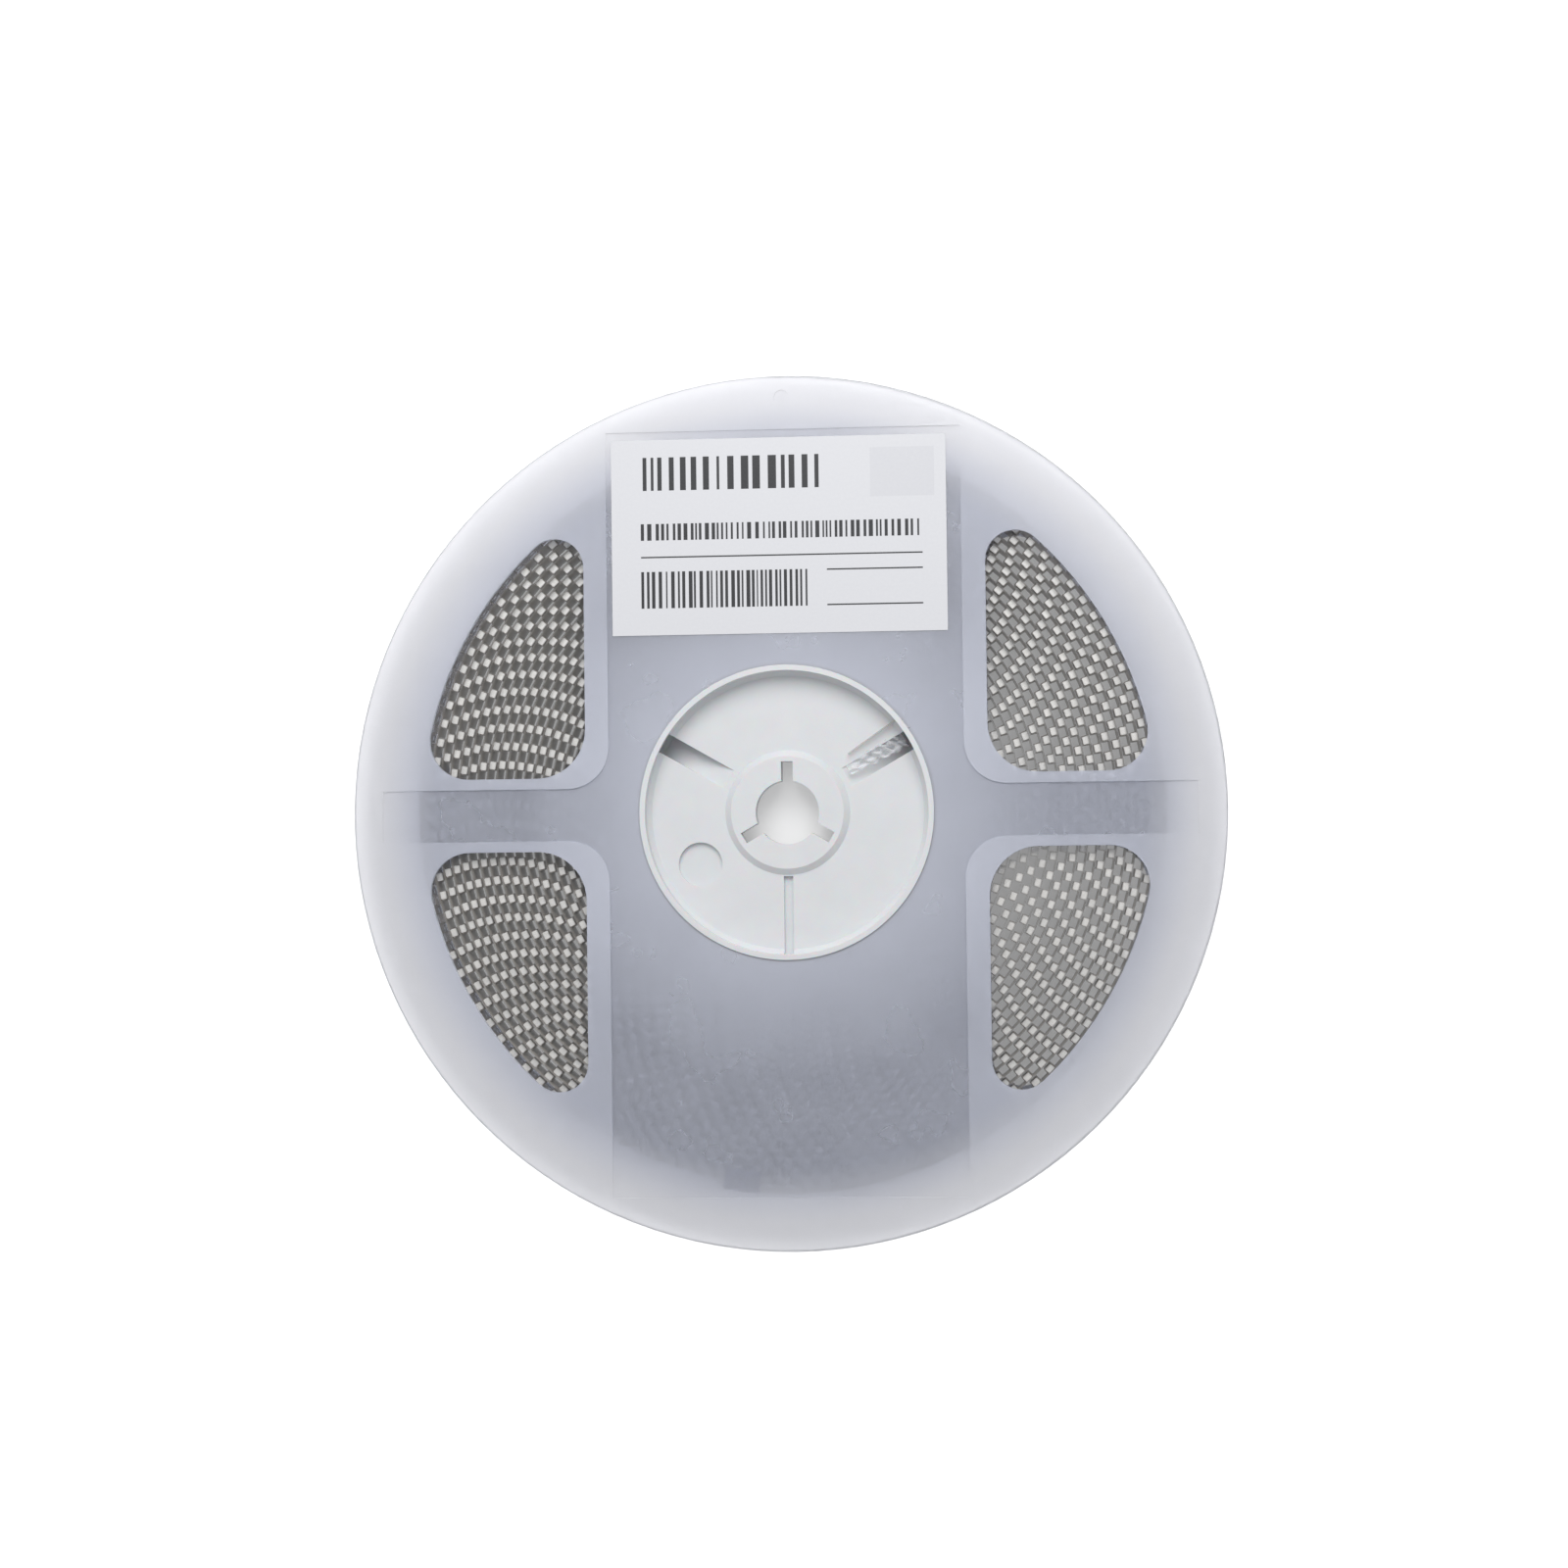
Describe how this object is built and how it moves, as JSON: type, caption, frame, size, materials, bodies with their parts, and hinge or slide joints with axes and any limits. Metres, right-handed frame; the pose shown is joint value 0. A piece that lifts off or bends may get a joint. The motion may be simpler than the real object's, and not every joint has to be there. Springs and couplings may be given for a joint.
{
  "type": "smd tape reel",
  "caption": "Translucent moulded reel with two windowed flanges and a hub, wound with embossed carrier tape that holds surface-mount chip capacitors.",
  "frame": {"origin": "centre of the reel's rear face, on its axis, which is the middle of the bottom of the box", "axes": "+Z along the reel's axis towards the labelled flange, +Y from the axis towards the label"},
  "size_m": [0.178, 0.178, 0.0114],
  "materials": {
    "translucent_flange": "satin translucent polystyrene",
    "hub_plastic": "satin",
    "carrier_film": "clear thermoformed film",
    "cover_film": "clear film",
    "chip": "tinned ends",
    "adhesive_tab": "satin film",
    "label_paper": "semi-gloss paper"
  },
  "bodies": {
    "root": {"rear_flange": "translucent_flange", "front_flange": "translucent_flange", "hub": "hub_plastic", "carrier_tape": "carrier_film", "cover_tape": "cover_film", "chip_capacitors": "chip", "end_tab": "adhesive_tab", "label": "label_paper"}
  },
  "joints": []
}
